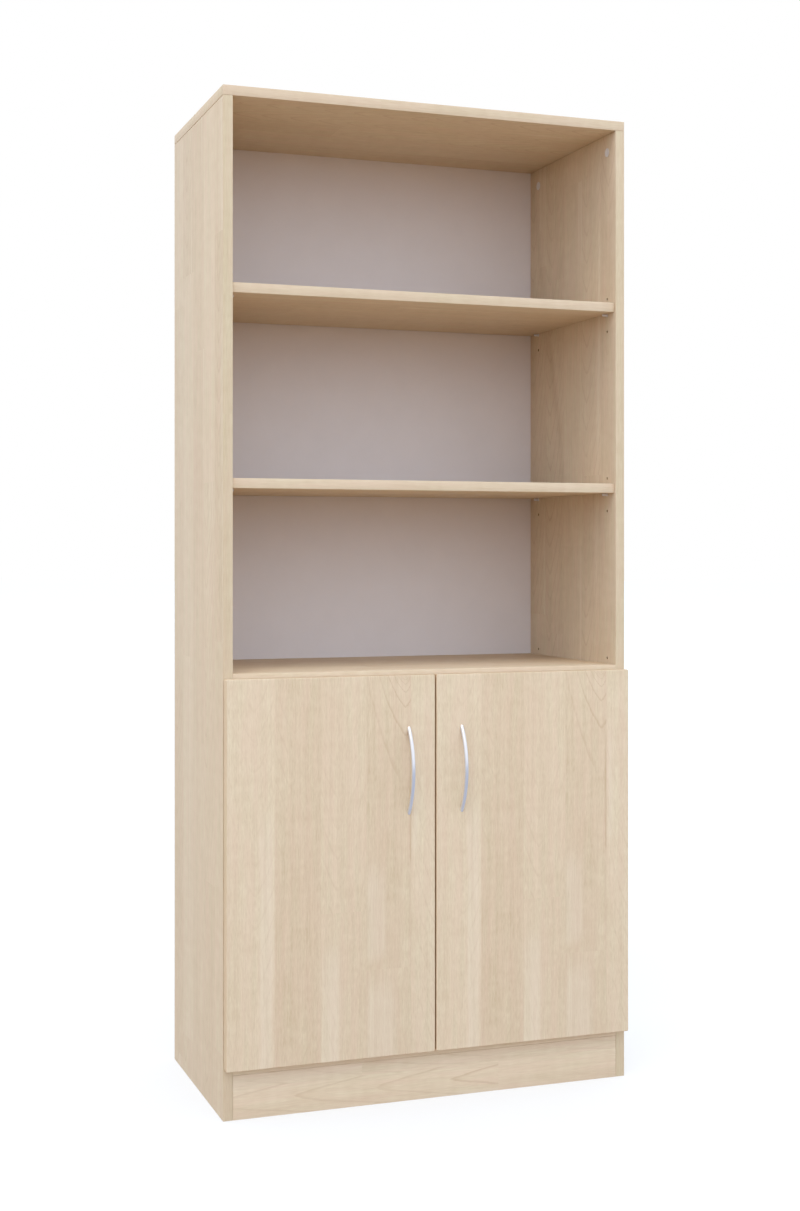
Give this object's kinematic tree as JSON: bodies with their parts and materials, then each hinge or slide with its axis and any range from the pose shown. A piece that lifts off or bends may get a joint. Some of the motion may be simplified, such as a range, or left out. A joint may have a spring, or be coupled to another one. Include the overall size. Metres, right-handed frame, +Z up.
{
  "type": "bookcase with cabinet doors",
  "caption": "Tall maple-coloured bookcase with open shelves over a cabinet closed by full-overlay doors with bow handles on concealed cup hinges.",
  "frame": {"origin": "on the floor, at the centre of the overall width and of the overall depth with the handles", "axes": "+X to the right of a viewer who faces the doors, +Y towards the back, +Z up"},
  "size_m": [0.8, 0.4554, 1.8565],
  "materials": {
    "maple_board": "maple-coloured melamine face with a fine printed grain, semi-matt",
    "pale_board": "thin hardboard with a smooth pale lacquered face",
    "satin_aluminium": "satin metal bar",
    "nickel_steel": "nickel-plated pressed steel",
    "zinc_cast": "die-cast zinc, dull",
    "white_plastic": "off-white moulded cap"
  },
  "bodies": {
    "carcass": {"top_panel": "maple_board", "fixed_shelf": "maple_board", "bottom_panel": "maple_board", "plinth_board": "maple_board", "upper_shelf": "maple_board", "middle_shelf": "maple_board", "cabinet_shelf": "maple_board", "back_panel": "pale_board", "side_panel_left": "maple_board", "upper_shelf_pin_front_left": "nickel_steel", "middle_shelf_pin_front_left": "nickel_steel", "cabinet_shelf_pin_front_left": "nickel_steel", "cam_housing_front_left": "zinc_cast", "cam_bolt_front_left": "nickel_steel", "cam_cap_front_left": "white_plastic", "upper_shelf_pin_rear_left": "nickel_steel", "middle_shelf_pin_rear_left": "nickel_steel", "cabinet_shelf_pin_rear_left": "nickel_steel", "cam_housing_rear_left": "zinc_cast", "cam_bolt_rear_left": "nickel_steel", "cam_cap_rear_left": "white_plastic", "side_panel_right": "maple_board", "upper_shelf_pin_front_right": "nickel_steel", "middle_shelf_pin_front_right": "nickel_steel", "cabinet_shelf_pin_front_right": "nickel_steel", "cam_housing_front_right": "zinc_cast", "cam_bolt_front_right": "nickel_steel", "cam_cap_front_right": "white_plastic", "upper_shelf_pin_rear_right": "nickel_steel", "middle_shelf_pin_rear_right": "nickel_steel", "cabinet_shelf_pin_rear_right": "nickel_steel", "cam_housing_rear_right": "zinc_cast", "cam_bolt_rear_right": "nickel_steel", "cam_cap_rear_right": "white_plastic", "lower_hinge_plate_left": "nickel_steel", "lower_hinge_arm_left": "nickel_steel", "upper_hinge_plate_left": "nickel_steel", "upper_hinge_arm_left": "nickel_steel", "lower_hinge_plate_right": "nickel_steel", "lower_hinge_arm_right": "nickel_steel", "upper_hinge_plate_right": "nickel_steel", "upper_hinge_arm_right": "nickel_steel"},
    "outer_links_left": {"lower_hinge_outer_link_left": "nickel_steel", "upper_hinge_outer_link_left": "nickel_steel"},
    "door_left": {"door_left": "maple_board", "handle_left": "satin_aluminium", "lower_hinge_cup_left": "nickel_steel", "upper_hinge_cup_left": "nickel_steel"},
    "inner_links_left": {"lower_hinge_inner_link_left": "nickel_steel", "upper_hinge_inner_link_left": "nickel_steel"},
    "outer_links_right": {"lower_hinge_outer_link_right": "nickel_steel", "upper_hinge_outer_link_right": "nickel_steel"},
    "door_right": {"door_right": "maple_board", "handle_right": "satin_aluminium", "lower_hinge_cup_right": "nickel_steel", "upper_hinge_cup_right": "nickel_steel"},
    "inner_links_right": {"lower_hinge_inner_link_right": "nickel_steel", "upper_hinge_inner_link_right": "nickel_steel"}
  },
  "joints": [
    {"name": "outer_link_pivot_left", "type": "hinge", "parent": "carcass", "child": "outer_links_left", "pos_m": [-0.363, -0.17375, 0.4422], "axis": [0, 0, -1], "range_deg": [-31.8, 0.1]},
    {"name": "door_swing_left", "type": "hinge", "parent": "outer_links_left", "child": "door_left", "pos_m": [-0.3866, -0.18515, 0.4422], "axis": [0, 0, -1], "range_deg": [0, 121.68]},
    {"name": "inner_link_pivot_left", "type": "hinge", "parent": "door_left", "child": "inner_links_left", "pos_m": [-0.3836, -0.19125, 0.4422], "axis": [0, 0, -1], "range_deg": [-96.6, 0.1]},
    {"name": "outer_link_pivot_right", "type": "hinge", "parent": "carcass", "child": "outer_links_right", "pos_m": [0.363, -0.17375, 0.4422], "axis": [0, 0, 1], "range_deg": [-31.8, 0.1]},
    {"name": "door_swing_right", "type": "hinge", "parent": "outer_links_right", "child": "door_right", "pos_m": [0.3866, -0.18515, 0.4422], "axis": [0, 0, 1], "range_deg": [0, 121.68]},
    {"name": "inner_link_pivot_right", "type": "hinge", "parent": "door_right", "child": "inner_links_right", "pos_m": [0.3836, -0.19125, 0.4422], "axis": [0, 0, 1], "range_deg": [-96.6, 0.1]}
  ],
  "couplings": [
    {"joint": "outer_link_pivot_left", "follows": "door_swing_left", "ratio": -0.26036},
    {"joint": "inner_link_pivot_left", "follows": "door_swing_left", "ratio": -0.7929},
    {"joint": "outer_link_pivot_right", "follows": "door_swing_right", "ratio": -0.26036},
    {"joint": "inner_link_pivot_right", "follows": "door_swing_right", "ratio": -0.7929}
  ]
}
